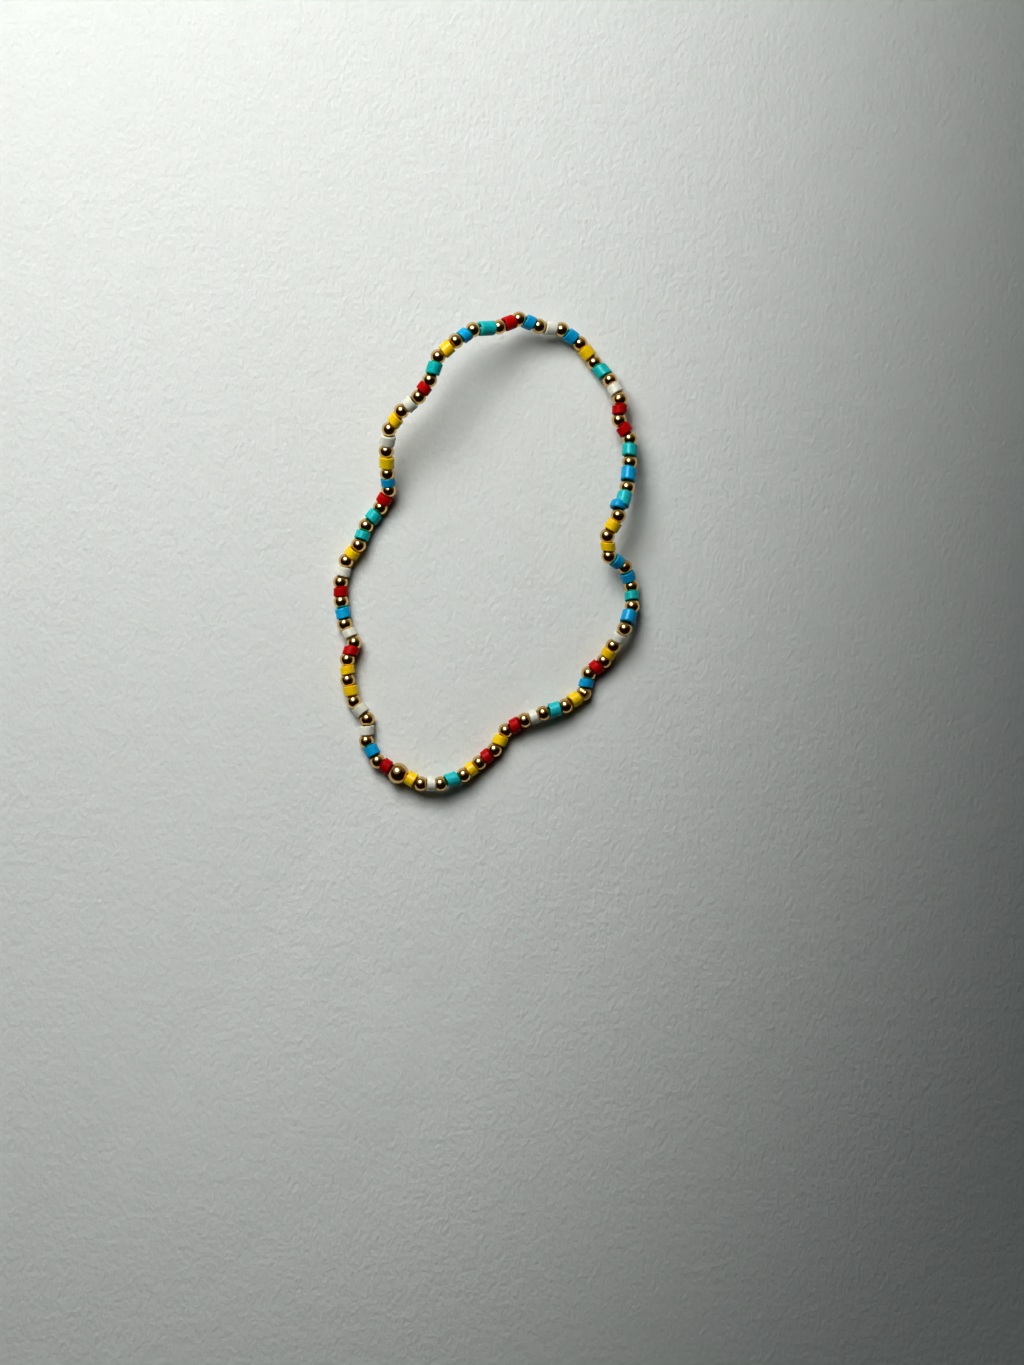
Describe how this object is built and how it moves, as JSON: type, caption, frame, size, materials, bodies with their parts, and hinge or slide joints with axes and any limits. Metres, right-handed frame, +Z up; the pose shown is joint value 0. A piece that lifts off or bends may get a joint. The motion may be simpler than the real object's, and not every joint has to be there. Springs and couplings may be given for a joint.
{
  "type": "beaded bracelet",
  "caption": "Stretch bracelet of small gold balls strung in turn with coloured cylinder beads on a hidden elastic, with one larger gold ball, lying as a loose wavy loop.",
  "frame": {"origin": "on the surface that the bracelet lies on, under the middle of its box", "axes": "+Z up from that surface, +Y along the loop's longer way, +X across it"},
  "size_m": [0.0442, 0.0686, 0.01],
  "materials": {
    "gold": "polished gold layer",
    "red_bead": "satin opaque glass",
    "yellow_bead": "satin opaque glass",
    "white_bead": "satin opaque glass",
    "blue_bead": "satin opaque glass",
    "turquoise_bead": "satin opaque glass",
    "elastic": "clear stretch cord"
  },
  "bodies": {
    "root": {"left_strand": "gold", "right_strand": "gold", "large_ball": "gold"}
  },
  "joints": []
}
